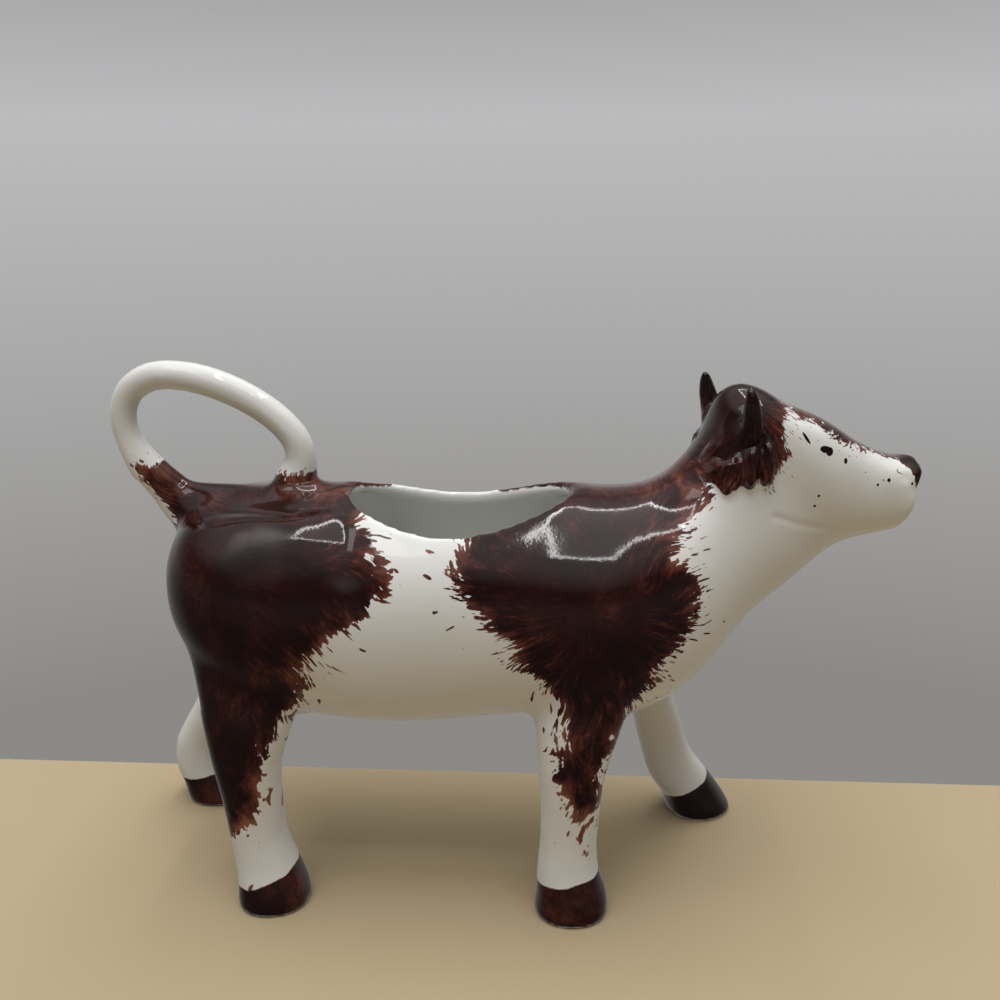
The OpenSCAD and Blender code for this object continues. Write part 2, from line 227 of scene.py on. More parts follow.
# Hollows and swellings of the cow's trunk: (path, reach, height) in millimetres
TRUNK = [
    # the spine stands up in front of the tail, with a dip on each side of it
    ([(-71, -6.5, 91.5), (-66, -9, 91), (-58, -12, 90), (-45, -13, 89.5), (-37, -9.5, 91)], 3.0, -1.1),
    ([(-71, 6.5, 91.5), (-66, 9, 91), (-58, 12, 90), (-45, 13, 89.5), (-37, 9.5, 91)], 3.0, -1.1),
    # behind the opening the haunch ends in a knob and a crease
    ([(-51, -18.5, 86), (-44.5, -17.5, 86.8)], 6.5, 1.5),
    ([(-51, 18.5, 86), (-44.5, 17.5, 86.8)], 6.5, 1.5),
    ([(-32.5, -11.5, 89.5), (-31.5, -17, 86), (-31, -22, 79)], 3.2, -0.9),
    ([(-32.5, 11.5, 89.5), (-31.5, 17, 86), (-31, 22, 79)], 3.2, -0.9),
    # the haunches
    ([(-58, -24, 78), (-50, -25, 66)], 13, 1.0),
    ([(-60, 24, 78), (-52, 25, 66)], 13, 1.0),
    # the flank falls in before the thigh
    ([(-32, -25, 80), (-37, -26, 60), (-42, -22, 48)], 7, -0.9),
    ([(-32, 25, 80), (-37, 26, 60), (-42, 22, 48)], 7, -0.9),
    # the shoulder and the dip behind the withers
    ([(22, -24, 72), (18, -25, 58)], 12, 0.8),
    ([(22, 24, 72), (18, 25, 58)], 12, 0.8)]

jug = castings("jug", *sorted(frame["nodes"]))
one_skin(jug, 0.0008)
x, y, z = places(jug).T
# the lip of the filling opening lies between two ovals: (half length, half width)
opening_x, lip_outside, lip_inside = -0.01, (0.0285, 0.0205), (0.0205, 0.0125)
outer, inner = [((x - opening_x) / long) ** 2 + (y / wide) ** 2 for long, wide in (lip_outside, lip_inside)]
lip = (outer < 1) & (z > 0.076) & (inner > 1)
handle = (z > 0.0935) & (x < -0.034)
legs = z < 0.046
face = x > 0.062
trunk = ~(lip | handle | legs | face)
sponge(jug, trunk, 50)
push(jug, TRUNK)
sponge(jug, trunk, 8)
sponge(jug, legs & (z > 0.0012), 8)
sponge(jug, handle, 3)
sponge(jug, lip, 8)

# The joint in the neck: its middle, the way it faces, and two corners round it
neck_joint, neck_ahead = Vector((0.03932, 0.00173, 0.0985)), Vector((0.9275, 0.1304, 0.3531))
neck_box = (0.030, -1, 0.050), (0.065, 1, 0.110)
whole = jug.copy()
whole.data = jug.data.copy()
whole.name = whole.data.name = "whole.skin"
scene.collection.objects.link(whole)
# the legs come off under the belly, and the head at the neck
cut(jug, (-1, -1, 0.030), (1, 1, 0.040), (0, 0, 0.035), (0, 0, 1))
cut(jug, *neck_box, neck_joint, neck_ahead)
fore_leg_right = lift_off(jug, (0.015, -0.021, 0), "fore_leg_right.casting")
fore_leg_left = lift_off(jug, (0.048, 0.021, 0), "fore_leg_left.casting")
hind_leg_right = lift_off(jug, (-0.052, -0.021, 0), "hind_leg_right.casting")
hind_leg_left = lift_off(jug, (-0.079, 0.021, 0), "hind_leg_left.casting")
bpy.data.objects.remove(lift_off(jug, (0.075, 0.0, 0.100), "rough.head"))
# the tail comes off the back and off the rump
cut(jug, (-0.055, -0.012, 0.088), (-0.036, 0.012, 0.100), (-0.045, 0, 0.0935), (0, 0, 1))
cut(jug, (-0.095, -0.012, 0.086), (-0.070, 0.012, 0.104), (-0.0815, 0, 0.0945), (-0.5, 0, 0.86))
tail = lift_off(jug, (-0.06, 0, 0.12), "tail.casting")
body = jug
body.name = body.data.name = "body.casting"
for piece in (fore_leg_right, fore_leg_left, hind_leg_right, hind_leg_left, tail, body):
    close(piece)

# ---- brown slip and glaze -----------------------------------------------------------------------
# The cow is painted under a clear glossy glaze: brown slip is dabbed on with a stiff brush, thick
# and near black in the middle of a patch, thin and reddish in short strokes round its edge.


def join(tree, *links):
    for source, target in links:
        tree.links.new(source, target)


def node(tree, kind, sockets=(), **settings):
    made = tree.nodes.new("ShaderNode" + kind)
    for key, value in settings.items():
        setattr(made, key, value)
    for key, value in dict(sockets).items():
        if isinstance(value, bpy.types.NodeSocket):
            tree.links.new(value, made.inputs[key])
        else:
            made.inputs[key].default_value = value
    return made


def sums(tree, operation, *values, clamp=False):
    return node(tree, "Math", enumerate(values), operation=operation, use_clamp=clamp).outputs[0]


def arrows(tree, operation, *values):
    return node(tree, "VectorMath", enumerate(values), operation=operation).outputs[0]


def noise(tree, where, scale, detail, roughness=0.5):
    return node(tree, "TexNoise", {"Vector": where, "Scale": scale, "Detail": detail,
                                   "Roughness": roughness}).outputs[0]


def swing(tree, grain, size):
    """A noise that swings to both sides of nothing."""
    return sums(tree, "MULTIPLY", sums(tree, "SUBTRACT", grain, 0.5), size)


def rises(tree, value, start, end, low=0.0, high=1.0, soft=False):
    """It goes from low to high while the value goes from start to end."""
    return node(tree, "MapRange", {"Value": value, "From Min": start, "From Max": end, "To Min": low, "To Max": high},
                interpolation_type="SMOOTHSTEP" if soft else "LINEAR").outputs[0]


def mix(tree, share, one, other):
    return node(tree, "Mix", {0: share, 2: one, 3: other}, data_type="FLOAT").outputs[0]


def ramp(tree, value, *stops):
    """The colours that follow one another as the value goes up: (value, colour)."""
    made = node(tree, "ValToRGB", {0: value})
    steps = made.color_ramp.elements
    steps[0].position, steps[0].color = stops[0][0], (*stops[0][1], 1)
    steps[1].position, steps[1].color = stops[-1][0], (*stops[-1][1], 1)
    for place, color in stops[1:-1]:
        steps.new(place).color = (*color, 1)
    return made.outputs[0]


def group(name, inputs, outputs):
    tree = bpy.data.node_groups.new(name, "ShaderNodeTree")
    for label, kind, value in inputs:
        socket = tree.interface.new_socket(name=label, in_out="INPUT", socket_type="NodeSocket" + kind)
        if value is not None:
            socket.default_value = value
    for label, kind in outputs:
        tree.interface.new_socket(name=label, in_out="OUTPUT", socket_type="NodeSocket" + kind)
    return tree, tree.nodes.new("NodeGroupInput").outputs, tree.nodes.new("NodeGroupOutput").inputs


def placed(tree, made, sockets):
    return node(tree, "Group", sockets, node_tree=made).outputs


# Strokes of the brush that fan out from a hub, seen from the side
strokes, given, out = group(
    "brush_strokes",
    [("Vector", "Vector", None), ("Within", "Float", 0.0), ("Hub", "Vector", (0, 0, 0)),
     ("Reach", "Float", 0.004), ("Width", "Float", 0.0007), ("Length", "Float", 0.0034)],
    [("Cover", "Float"), ("Streak", "Float")])
bend = node(strokes, "TexNoise", {"Vector": given["Vector"], "Scale": 55.0, "Detail": 1.0}).outputs[1]
bend = arrows(strokes, "SUBTRACT", bend, (0.5, 0.5, 0.5))
bend = node(strokes, "VectorMath", {0: bend, 3: 0.012}, operation="SCALE").outputs[0]
away = arrows(strokes, "SUBTRACT", arrows(strokes, "ADD", given["Vector"], bend), given["Hub"])
axis = node(strokes, "SeparateXYZ", {0: away}).outputs
turn = sums(strokes, "ARCTAN2", axis["Z"], axis["X"])
reach = sums(strokes, "ADD", sums(strokes, "MULTIPLY", axis["X"], axis["X"]),
             sums(strokes, "MULTIPLY", axis["Z"], axis["Z"]))
across = sums(strokes, "DIVIDE", sums(strokes, "MULTIPLY", turn, 0.024), given["Width"])
along = sums(strokes, "DIVIDE", sums(strokes, "SQRT", reach), given["Length"])
through = sums(strokes, "DIVIDE", axis["Y"], given["Length"])
fan = node(strokes, "CombineXYZ", {"X": across, "Y": along, "Z": through}).outputs[0]
fine = noise(strokes, fan, 1.0, 2.0, 0.65)
broad = noise(strokes, fan, 0.42, 3.0, 0.6)
lump = noise(strokes, given["Vector"], 75.0, 4.0, 0.65)
ragged = sums(strokes, "ADD", swing(strokes, fine, 3.2), swing(strokes, lump, 3.4))
edge = sums(strokes, "ADD", given["Within"], sums(strokes, "MULTIPLY", ragged, given["Reach"]))
edge = sums(strokes, "MAXIMUM", edge, sums(strokes, "SUBTRACT", given["Within"], 0.0032))
cover = rises(strokes, edge, -0.00025, 0.0003, soft=True)
# single dabs that missed the patch, fewer of them the further from it
apart = noise(strokes, arrows(strokes, "ADD", fan, (7.3, 2.9, 5.1)), 0.8, 1.0)
beyond = sums(strokes, "DIVIDE", sums(strokes, "SUBTRACT", 0.0, given["Within"]), given["Reach"])
fewer = sums(strokes, "MULTIPLY", sums(strokes, "MAXIMUM", beyond, 0.0), 0.068)
apart = sums(strokes, "SUBTRACT", sums(strokes, "SUBTRACT", apart, 0.615), fewer)
cover = sums(strokes, "MAXIMUM", cover, rises(strokes, apart, 0.0, 0.015))
# the streaks show most near the edge, where the slip is thin
shallow = rises(strokes, edge, 0.0, 0.0045, 0.30, 0.0)
calm = rises(strokes, given["Within"], 0.004, 0.013, 1.0, 0.28)
even = sums(strokes, "ADD", swing(strokes, fine, 0.8), swing(strokes, broad, 1.0))
even = sums(strokes, "ADD", sums(strokes, "MULTIPLY", even, calm), 0.5)
join(strokes, (cover, out["Cover"]), (sums(strokes, "ADD", even, shallow), out["Streak"]))

# The slip's own colour over the white, thick or thin
slip, given, out = group(
    "brown_slip", [("Vector", "Vector", None), ("Cover", "Float", 0.0), ("Streak", "Float", 0.5)],
    [("Color", "Color"), ("Height", "Float")])
cloud = noise(slip, given["Vector"], 90.0, 4.0, 0.6)
grit = noise(slip, given["Vector"], 900.0, 3.0, 0.7)
uneven = sums(slip, "ADD", sums(slip, "MULTIPLY", cloud, 0.46), sums(slip, "MULTIPLY", grit, 0.12))
uneven = sums(slip, "SUBTRACT", uneven, 0.085)
thin = sums(slip, "ADD", sums(slip, "MULTIPLY", given["Streak"], 0.62), uneven)
brown = ramp(slip, thin, (0.48, (0.0130, 0.0036, 0.0032)), (0.56, (0.0260, 0.0060, 0.0046)),
             (0.63, (0.0620, 0.0155, 0.0098)), (0.72, (0.1200, 0.0370, 0.0220)), (0.86, (0.2300, 0.0900, 0.0520)))
pool = noise(slip, given["Vector"], 22.0, 2.0)
white = node(slip, "Mix", {0: pool, 6: (0.700, 0.698, 0.660, 1), 7: (0.735, 0.735, 0.705, 1)},
             data_type="RGBA").outputs[2]
color = node(slip, "Mix", {0: given["Cover"], 6: white, 7: brown}, data_type="RGBA").outputs[2]
join(slip, (color, out["Color"]), (given["Cover"], out["Height"]))


def outline(tree, value, points):
    """A drawn line in mm: for a place on one axis it gives the place on another."""
    low, high = points[0][0], points[-1][0]
    least, most = min(p[1] for p in points), max(p[1] for p in points)
    share = sums(tree, "DIVIDE", sums(tree, "SUBTRACT", value, low / 1000), (high - low) / 1000, clamp=True)
    drawn = node(tree, "FloatCurve", {"Value": share})
    curve = drawn.mapping.curves[0]
    rows = [((p[0] - low) / (high - low), (p[1] - least) / (most - least)) for p in points]
    curve.points[0].location, curve.points[1].location = rows[0], rows[-1]
    for row in rows[1:-1]:
        curve.points.new(*row)
    for point in curve.points:
        point.handle_type = "VECTOR"
    drawn.mapping.update()
    return sums(tree, "ADD", sums(tree, "MULTIPLY", drawn.outputs[0], (most - least) / 1000), least / 1000)


# The lines of the patches on the right side, then on the left: (height, place along the cow)
HAUNCH_RIGHT = [(16, -64), (19.4, -58), (25, -52.1), (35.3, -51.3), (41, -49.7), (45.2, -45.6), (56.8, -40.5),
                (61.4, -38.9), (66.4, -34.4), (70.8, -28), (74.8, -23.9), (78.5, -23.7), (85.4, -25.7),
                (89.2, -29), (100, -30)]
HAUNCH_LEFT = [(16, -95), (52, -92), (56, -74), (60, -62), (66, -50), (72, -42), (80, -36), (86, -30),
               (89.2, -29), (100, -30)]
CHEST_RIGHT = [(8, 10), (19.5, 17), (25, 17.6), (29.7, 20.3), (39, 22.5), (47, 27), (56.6, 32.7), (61.5, 34.5),
               (65.4, 39.1), (71.1, 41.1), (77.1, 41.4), (82.4, 37.3), (87.6, 39), (95.1, 43), (97, 60), (120, 62)]
CHEST_LEFT = [(8, -4), (54, 14), (58, 25), (64, 31), (72, 35), (80, 38), (88, 40), (95.1, 43), (97, 60), (120, 62)]
BEHIND_RIGHT = [(8, 25), (19.5, 18), (25, 16.5), (30.6, 12.7), (52.1, 11.1), (58, 9), (60.4, 3.4), (67.2, 1.5),
                (69.6, -2.6), (72.2, -3.6), (75.1, -7.2), (78.4, -9.1), (82.2, -7.9), (85.5, -6.9), (100, -6)]
BEHIND_LEFT = [(8, 44), (54, 28), (58, 20), (64, 12), (72, 6), (80, 0), (86, -3), (100, -4)]
# The brown of the head: its lower line on the neck and over the ear, its front line on the cheek, and
# the lower line of the stripe down the nose
EAR_LINE = [(20, 97), (40.6, 97), (42.4, 95.8), (45, 94.5), (48, 96), (52, 96.5), (55, 94.8), (56, 93), (58, 88),
            (92, 88)]
CHEEK_LINE = [(90, 53.2), (95.2, 54.6), (97.8, 56.6), (101, 58.2), (104, 57.6), (106.5, 57.4), (109, 58.4),
              (120, 62)]
STRIPE_LINE = [(50, 113), (57, 111), (61.3, 107.9), (66, 105.9), (69.2, 104.0), (72.6, 101.7), (75.2, 100.2),
               (81.7, 97.9), (85.3, 96.8), (87.1, 94.9), (88.6, 91), (92, 88)]

# How far a place lies within the haunch patch, the shoulder patch and the brown of the head
patches, given, out = group("patches", [("Vector", "Vector", None)],
                            [("Haunch", "Float"), ("Shoulder", "Float"), ("Head", "Float")])
at = node(patches, "SeparateXYZ", {0: given["Vector"]}).outputs
side = rises(patches, at["Y"], -0.006, 0.006, soft=True)


def both(right_line, left_line):
    """The line of a patch, which differs on the two sides of the cow."""
    return mix(patches, side, outline(patches, at["Z"], right_line), outline(patches, at["Z"], left_line))


# on the inside of the near legs the patches draw back
inner = sums(patches, "MAXIMUM", sums(patches, "ADD", at["Y"], 0.019), 0.0)
inner = sums(patches, "MULTIPLY", inner, rises(patches, at["Z"], 0.050, 0.042, high=2.5))
inner = sums(patches, "MULTIPLY", inner, sums(patches, "SUBTRACT", 1.0, side))
haunch = sums(patches, "SUBTRACT", both(HAUNCH_RIGHT, HAUNCH_LEFT), at["X"])
haunch = sums(patches, "SUBTRACT", haunch, inner)
# under the root of the tail a strip stays white
strip = sums(patches, "ADD", sums(patches, "MULTIPLY", sums(patches, "ADD", at["X"], 0.0784), 0.78),
             sums(patches, "MULTIPLY", sums(patches, "SUBTRACT", at["Z"], 0.0939), 0.62))
below = sums(patches, "MAXIMUM", sums(patches, "SUBTRACT", 0.0845, at["Z"]), 0.0)
strip = sums(patches, "ADD", sums(patches, "ADD", strip, 0.0012), sums(patches, "MULTIPLY", below, 6.0))
haunch = sums(patches, "MINIMUM", haunch, sums(patches, "MULTIPLY", strip, 3.0))
shoulder = sums(patches, "MINIMUM", sums(patches, "SUBTRACT", both(CHEST_RIGHT, CHEST_LEFT), at["X"]),
                sums(patches, "SUBTRACT", at["X"], both(BEHIND_RIGHT, BEHIND_LEFT)))
# the lines of the head are drawn as if it looked straight ahead
straight = node(patches, "VectorRotate", {"Vector": given["Vector"], "Center": (0.03892, 0.00167, 0),
                                          "Angle": radians(-8)}, rotation_type="Z_AXIS").outputs[0]
along = node(patches, "SeparateXYZ", {0: straight}).outputs["X"]
over_ear = sums(patches, "SUBTRACT", at["Z"], outline(patches, along, EAR_LINE))
on_cheek = sums(patches, "SUBTRACT", outline(patches, at["Z"], CHEEK_LINE), along)
on_nose = sums(patches, "SUBTRACT", at["Z"], outline(patches, along, STRIPE_LINE))
poll = sums(patches, "MAXIMUM", sums(patches, "MINIMUM", over_ear, on_cheek), on_nose)
join(patches, (haunch, out["Haunch"]), (sums(patches, "SUBTRACT", shoulder, inner), out["Shoulder"]),
     (poll, out["Head"]))


def new_paint(name):
    """The paint of one piece, and the places on the piece that it reads."""
    paint = bpy.data.materials.new(name)
    paint.use_nodes = True
    return paint, paint.node_tree, node(paint.node_tree, "TexCoord").outputs["Object"]


def brushed(tree, where, within, patch):
    """A patch of the body in strokes that fan out from its middle."""
    hub = {"Haunch": (-0.056, 0, 0.084), "Shoulder": (0.019, 0, 0.074)}[patch]
    return placed(tree, strokes, {"Vector": where, "Within": within[patch], "Hub": hub, "Reach": 0.0042})


def streaked(tree, hind, fore, x):
    """Behind the middle of the cow the streaks are those of the haunch, before it of the shoulder."""
    middle = -0.012
    return sums(tree, "MAXIMUM", sums(tree, "MULTIPLY", hind["Streak"], sums(tree, "LESS_THAN", x, middle)),
                sums(tree, "MULTIPLY", fore["Streak"], sums(tree, "GREATER_THAN", x, middle)))


def clear_glaze(tree, color, height, dull=0.0):
    """The glossy skin over the paint: it runs a little, so what it mirrors is a little uneven."""
    shader = tree.nodes["Principled BSDF"]
    where = node(tree, "TexCoord").outputs["Object"]
    swell, orange = noise(tree, where, 70.0, 2.0), noise(tree, where, 420.0, 2.0)
    relief = sums(tree, "ADD", sums(tree, "MULTIPLY", swell, 0.00022), sums(tree, "MULTIPLY", orange, 0.000012))
    grain = noise(tree, where, 1500.0, 2.0)
    thick = sums(tree, "ADD", 0.00002, sums(tree, "MULTIPLY", grain, 0.000012))
    relief = sums(tree, "ADD", relief, sums(tree, "MULTIPLY", height, thick))
    bump = node(tree, "Bump", {"Height": relief, "Strength": 1.0, "Distance": 1.0})
    join(tree, (color, shader.inputs["Base Color"]), (bump.outputs[0], shader.inputs["Normal"]))
    matt = sums(tree, "ADD", 0.07, sums(tree, "MULTIPLY", sums(tree, "MULTIPLY", height, swell), 0.03))
    join(tree, (sums(tree, "ADD", matt, dull), shader.inputs["Roughness"]))
    shader.inputs["IOR"].default_value = 1.45


def fired_on(piece, paint):
    piece.data.materials.clear()
    piece.data.materials.append(paint)


# The body: both patches and the brown of the neck, but the inside and the lip are white
paint, tree, where = new_paint("body_glaze")
within = placed(tree, patches, {"Vector": where})
hind, fore = brushed(tree, where, within, "Haunch"), brushed(tree, where, within, "Shoulder")
top = placed(tree, strokes, {"Vector": where, "Within": within["Head"], "Hub": (0.050, 0, 0.110), "Reach": 0.0025})
cover = sums(tree, "MAXIMUM", sums(tree, "MAXIMUM", hind["Cover"], fore["Cover"]), top["Cover"])
hollow = node(tree, "Attribute", attribute_name="hollow").outputs["Fac"]
at = node(tree, "SeparateXYZ", {0: where}).outputs
oval = sums(tree, "ADD", sums(tree, "POWER", sums(tree, "DIVIDE", sums(tree, "ADD", at["X"], 0.01005), 0.0243), 2.0),
            sums(tree, "POWER", sums(tree, "DIVIDE", at["Y"], 0.0170), 2.0))
lip_mask = sums(tree, "MULTIPLY", sums(tree, "LESS_THAN", oval, 1.0), sums(tree, "GREATER_THAN", at["Z"], 0.079))
left_white = sums(tree, "MAXIMUM", lip_mask, hollow, clamp=True)
cover = sums(tree, "MULTIPLY", cover, sums(tree, "SUBTRACT", 1.0, left_white))
# along the top of the back and of the neck the slip is thin and reddish
ridge = sums(tree, "MULTIPLY", rises(tree, at["Z"], 0.0880, 0.0905),
             rises(tree, sums(tree, "ABSOLUTE", at["Y"]), 0.0125, 0.0075))
streak = sums(tree, "MULTIPLY_ADD", ridge, 0.14, streaked(tree, hind, fore, at["X"]))
coat = placed(tree, slip, {"Vector": where, "Cover": cover, "Streak": streak})
# on top of the near haunch the glaze came out of the kiln a little dull
spot = node(tree, "VectorMath", {0: where, 1: (-0.0505, -0.0222, 0.0828)}, operation="DISTANCE").outputs["Value"]
clear_glaze(tree, coat["Color"], coat["Height"], rises(tree, spot, 0.0105, 0.0045, 0.0, 0.24, soft=True))
fired_on(body, paint)


def mark(piece, name, values):
    """Each point of the skin keeps a value that the paint reads."""
    piece.data.attributes.new(name, "FLOAT", "POINT").data.foreach_set("value", values.astype(np.float32))


# The inside of the jug is marked, so that no brown reaches it: there the skin faces the middle
x, y, z = places(body).T
middle_z = np.interp(x, [-0.07, 0.0, 0.02, 0.05], [0.066, 0.066, 0.070, 0.082])
radial = np.stack([np.zeros_like(x), y, z - middle_z], 1)
radial /= np.maximum(np.linalg.norm(radial, axis=1), 1e-6)[:, None]
inside = ((facing(body) * radial).sum(1) < 0.1) & (z > 0.0405) & (np.abs(y) < 0.0245) & (x > -0.0712)
mark(body, "hollow", inside)

# ---- legs ---------------------------------------------------------------------------------------
# Four solid castings, luted on under the belly. The hooves are dipped in brown slip, and the foot
# ring is wiped bare where the jug stood in the kiln.
for piece, name, middle, slope, top_of_hoof in (
        (fore_leg_right, "fore_leg_right", 0.0152, 0.20, 0.0096),
        (fore_leg_left, "fore_leg_left", 0.0482, 0.45, 0.0094),
        (hind_leg_right, "hind_leg_right", -0.0521, 0.33, 0.0078),
        (hind_leg_left, "hind_leg_left", -0.0793, 0.15, 0.0084)):
    paint, tree, where = new_paint(name + "_glaze")
    at = node(tree, "SeparateXYZ", {0: where}).outputs
    within = placed(tree, patches, {"Vector": where})
    hind, fore = brushed(tree, where, within, "Haunch"), brushed(tree, where, within, "Shoulder")
    # the dipped line runs aslant and wanders
    wander = noise(tree, where, 160.0, 3.0)
    line = sums(tree, "MULTIPLY", sums(tree, "SUBTRACT", at["X"], middle), slope)
    line = sums(tree, "ADD", sums(tree, "ADD", top_of_hoof, line), swing(tree, wander, 0.0022))
    hoof = rises(tree, sums(tree, "SUBTRACT", line, at["Z"]), -0.0001, 0.0002)
    # down the leg the streaks of the patch grow stronger and the slip thinner
    streak = sums(tree, "SUBTRACT", streaked(tree, hind, fore, at["X"]), 0.5)
    streak = sums(tree, "MULTIPLY_ADD", streak, rises(tree, at["Z"], 0.036, 0.028, 1.0, 1.6),
                  rises(tree, at["Z"], 0.036, 0.026, 0.5, 0.57))
    streak = mix(tree, hoof, streak, sums(tree, "MULTIPLY_ADD", wander, 0.55, 0.29))
    cover = sums(tree, "MAXIMUM", sums(tree, "MAXIMUM", hind["Cover"], fore["Cover"]), hoof)
    cover = sums(tree, "MULTIPLY", cover, rises(tree, at["Z"], 0.0003, 0.0006))
    coat = placed(tree, slip, {"Vector": where, "Cover": cover, "Streak": streak})
    clear_glaze(tree, coat["Color"], coat["Height"])
    fired_on(piece, paint)
    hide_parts(name)
    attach(piece, "root")

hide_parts("body_shell")
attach(body, "root")

# ---- tail ---------------------------------------------------------------------------------------
# The handle is a rolled coil of clay, bent over the rump and luted on at both ends. It stays white,
# with a collar of brown where it meets the back.
paint, tree, where = new_paint("tail_glaze")
at = node(tree, "SeparateXYZ", {0: where}).outputs
rear = sums(tree, "LESS_THAN", at["X"], -0.065)
root = sums(tree, "SUBTRACT", sums(tree, "MULTIPLY_ADD", rear, 0.0018, 0.0952), at["Z"])
root = sums(tree, "MINIMUM", root, mix(tree, rear, 0.01, placed(tree, patches, {"Vector": where})["Haunch"]))
collar = placed(tree, strokes, {"Vector": where, "Within": root, "Hub": (-0.060, 0, 0.060), "Reach": 0.0016,
                                "Width": 0.0006, "Length": 0.0016})
coat = placed(tree, slip, {"Vector": where, "Cover": collar["Cover"], "Streak": collar["Streak"]})
clear_glaze(tree, coat["Color"], coat["Height"])
fired_on(tail, paint)
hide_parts("tail_handle")
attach(tail, "root")

# ---- head ---------------------------------------------------------------------------------------
# The head is a hollow casting with horns and ears pulled by hand, luted on at the slanting joint in
# the neck. Cream pours out of its open muzzle.
head = castings("head.casting", "head", "horn_right", "horn_left", "ear_right", "ear_left", "body_shell")
only(head)
bpy.ops.object.mode_set(mode="EDIT")
bpy.ops.mesh.select_all(action="SELECT")
bpy.ops.mesh.bisect(plane_co=(0.024, 0, 0), plane_no=(1, 0, 0), clear_inner=True)
bpy.ops.mesh.select_all(action="DESELECT")
bpy.ops.mesh.select_non_manifold()
bpy.ops.mesh.fill()
bpy.ops.object.mode_set(mode="OBJECT")
one_skin(head, 0.0004)
x, y, z = places(head).T
ears = (z > 0.091) & (x > 0.040) & (x < 0.060) & (np.abs(y - 0.003) > 0.0065)
muzzle = x > 0.078
throat = ~ears & (x > 0.0255) & (x < 0.056)
sponge(head, throat, 170)
sponge(head, ~(ears | muzzle) & (x > 0.0255), 60)
sponge(head, muzzle, 12)
sponge(head, ears, 6)


def turned(path, side):
    """Places on the head are told as if it looked straight ahead; here they get its turn to the left."""
    turn = radians(8)
    return [(38.92 + (x - 39) * cos(turn) - side * y * sin(turn),
             1.67 + (x - 39) * sin(turn) + side * y * cos(turn), z) for x, y, z in path]


CREASE = [(42.8, 8.2, 99.6), (45.3, 10.0, 100.7), (48.1, 11.0, 101.4), (51, 11.6, 102.2), (53.6, 12.0, 102.5)]
# Clay that blends the top of the ear and the foot of the horn into the poll
FILL = [
    ([(43.3, 7.6, 100.7), (46, 9, 102.0), (48.5, 9.9, 102.8), (51.5, 10.8, 103.6)], 2.3, 1.8),
    ([(46.5, 8.5, 105), (50, 10, 105.5)], 2.0, 0.9)]
HEAD = [
    # the folds of the ear that run down from the horn
    ([(50.2, 12.4, 105), (50.0, 13, 99), (49.8, 13.4, 95.5)], 0.9, 0.6),
    ([(54.0, 12, 106.5), (53.8, 12.8, 101), (53.4, 13, 96.0)], 0.8, 0.9),
    ([(52.2, 12, 106), (52.0, 12.6, 100), (51.8, 12.8, 95.5)], 0.6, -0.8),
    ([(55.6, 11.6, 105), (55.6, 12, 99)], 0.8, -0.4),
    ([(47.8, 12, 103), (47, 12.8, 97), (46.2, 13.2, 93.5)], 0.7, -0.6),
    # the foot of the horn is broad towards the poll
    ([(49.5, 8.5, 108.5), (49, 9.5, 106)], 2.0, 0.8),
    # cheek, brow and the ridge on the muzzle with its flat in front
    ([(66.5, 9.0, 99.5), (69, 8.6, 98.4)], 2.0, -0.25),
    ([(62, 9, 106), (67, 7.6, 104.4)], 2.2, 0.3),
    ([(73.7, 4.6, 100.6), (73.6, 6.4, 98), (73.0, 7.2, 95.4), (77.6, 6.8, 93.6)], 0.9, 0.55),
    ([(76.6, 5.6, 97.2), (78, 6, 95.6)], 2.2, -0.35),
    # the crease of the jaw
    ([(55.7, 12.3, 87.9), (61.4, 10.7, 85.7), (67.4, 9.0, 84.0), (74.0, 7.8, 83.4), (80.7, 6.7, 83.5),
      (85.6, 6.7, 84.3)], 0.8, -0.20),
    # the nose stands out over the mouth
    ([(88.8, 4.5, 94.4), (89.8, 0, 94.8)], 2.6, 0.6),
    ([(88.4, 7, 91.6), (90, 3, 91.2), (90.2, 0, 91.2)], 2.0, -0.7),
    ([(86.4, 6.5, 93.4), (86.0, 7, 94)], 1.2, -0.35)]
push(head, [(turned(path, side), reach, height) for path, reach, height in FILL for side in (-1, 1)])
blend = np.zeros(len(head.data.vertices), bool)
for path in (CREASE, [(46.5, 9.5, 103.5), (50, 11, 103.8)], [(48, 9, 105.5), (50, 11, 104.5)]):
    for side in (-1, 1):
        blend |= off_path(places(head), turned(path, side)) < 0.0029
sponge(head, blend, 80)
push(head, [(turned(path, side), reach, height) for path, reach, height in HEAD for side in (-1, 1)])
# the left ear lies flatter behind, and the left horn has a broad foot
push(head, [(turned([(41.5, 12.2, 101), (42, 13, 98), (42.5, 13, 96)], 1), 2.4, -1.6),
            (turned([(50.6, 10, 111), (50, 8.5, 109)], 1), 1.8, 0.9)])
sponge(head, ears | muzzle, 2)

# On both sides of the joint the head takes the shape of the whole skin, but not its ears
spots = places(head)
x, y, z = spots.T
off = np.abs((spots - np.array(neck_joint)) @ np.array(neck_ahead))
on_ear = (z > 0.0905) & (x > 0.0415) & (np.abs(y - 0.0025) > 0.005)
meet = head.vertex_groups.new(name="meet")
for step in range(10):
    band = np.where((off < 0.008 - 0.0007 * step) & ~on_ear)[0]
    meet.add([int(k) for k in band], 0.1 * (step + 1), "REPLACE")
only(head)
wrap = head.modifiers.new("meet", "SHRINKWRAP")
wrap.target = whole
wrap.vertex_group = "meet"
bpy.ops.object.modifier_apply(modifier=wrap.name)
bpy.data.objects.remove(whole)
overlap = 0.00018
cut(head, *neck_box, neck_joint - neck_ahead * overlap, neck_ahead)
neck_stump = head
neck_stump.name = neck_stump.data.name = "neck.stump"
head = lift_off(neck_stump, (0.075, 0.0, 0.100), "head.casting")
bpy.data.objects.remove(neck_stump)
close(head)

